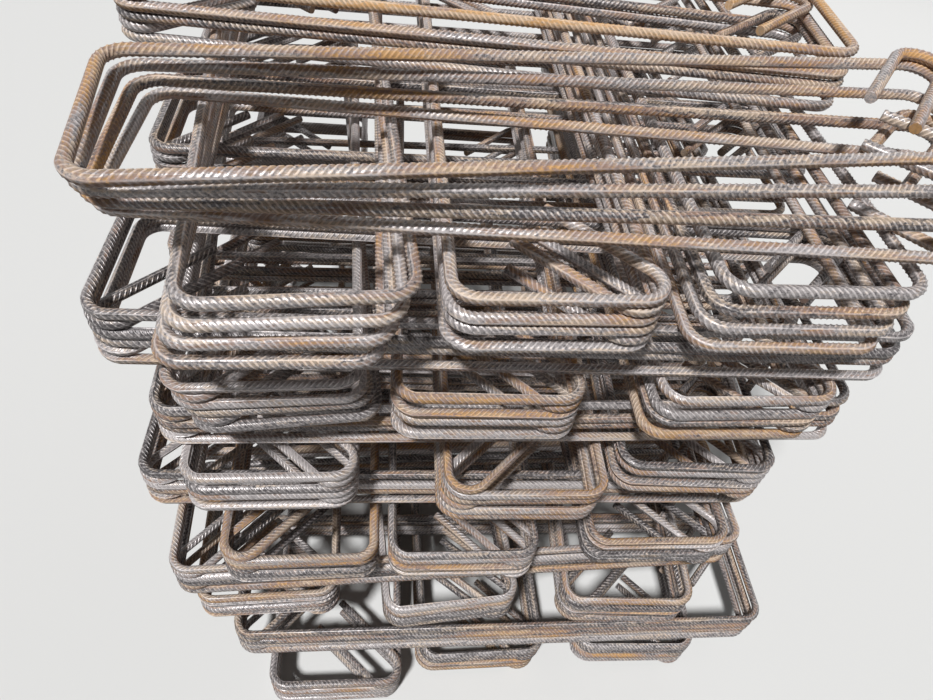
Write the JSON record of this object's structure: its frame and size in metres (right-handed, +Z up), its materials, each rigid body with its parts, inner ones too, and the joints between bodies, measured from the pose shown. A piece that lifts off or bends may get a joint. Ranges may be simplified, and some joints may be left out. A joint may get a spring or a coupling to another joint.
{
  "type": "bundle of rebar stirrups",
  "caption": "Crib-stacked bundle of closed rectangular reinforcement stirrups, bent from ribbed bar with two hooks each and laid in flat groups, tiers lengthwise and crosswise in turn",
  "frame": {"origin": "centre of the bundle's bounding box in plan, on the floor under the lowest tier", "axes": "+Z up; +X to the right, along the crosswise stirrups; +Y to the back, along the lengthwise stirrups"},
  "size_m": [0.6096, 0.6231, 0.6207],
  "materials": {
    "bar_steel": "hot-rolled ribbed bar with mill scale and light rust"
  },
  "bodies": {
    "root": {"tier_01_lengthwise_left": "bar_steel", "tier_01_lengthwise_centre": "bar_steel", "tier_01_lengthwise_right": "bar_steel", "tier_02_crosswise_front": "bar_steel", "tier_02_crosswise_middle": "bar_steel", "tier_02_crosswise_back": "bar_steel", "tier_03_lengthwise_left": "bar_steel", "tier_03_lengthwise_centre": "bar_steel", "tier_03_lengthwise_right": "bar_steel", "tier_04_crosswise_front": "bar_steel", "tier_04_crosswise_middle": "bar_steel", "tier_04_crosswise_back": "bar_steel", "tier_05_lengthwise_left": "bar_steel", "tier_05_lengthwise_centre": "bar_steel", "tier_05_lengthwise_right": "bar_steel", "tier_06_crosswise_front": "bar_steel", "tier_06_crosswise_middle": "bar_steel", "tier_06_crosswise_back": "bar_steel", "tier_07_lengthwise_left": "bar_steel", "tier_07_lengthwise_centre": "bar_steel", "tier_07_lengthwise_right": "bar_steel", "tier_08_crosswise_front": "bar_steel", "tier_08_crosswise_middle": "bar_steel", "tier_08_crosswise_back": "bar_steel", "tier_09_lengthwise_left": "bar_steel", "tier_09_lengthwise_centre": "bar_steel", "tier_09_lengthwise_right": "bar_steel", "tier_10_crosswise_front": "bar_steel", "tier_10_crosswise_middle": "bar_steel", "tier_10_crosswise_back": "bar_steel", "tier_11_lengthwise_left": "bar_steel", "tier_11_lengthwise_centre": "bar_steel", "tier_11_lengthwise_right": "bar_steel", "tier_12_crosswise_front": "bar_steel", "tier_12_crosswise_middle": "bar_steel", "tier_12_crosswise_back": "bar_steel"}
  },
  "joints": []
}
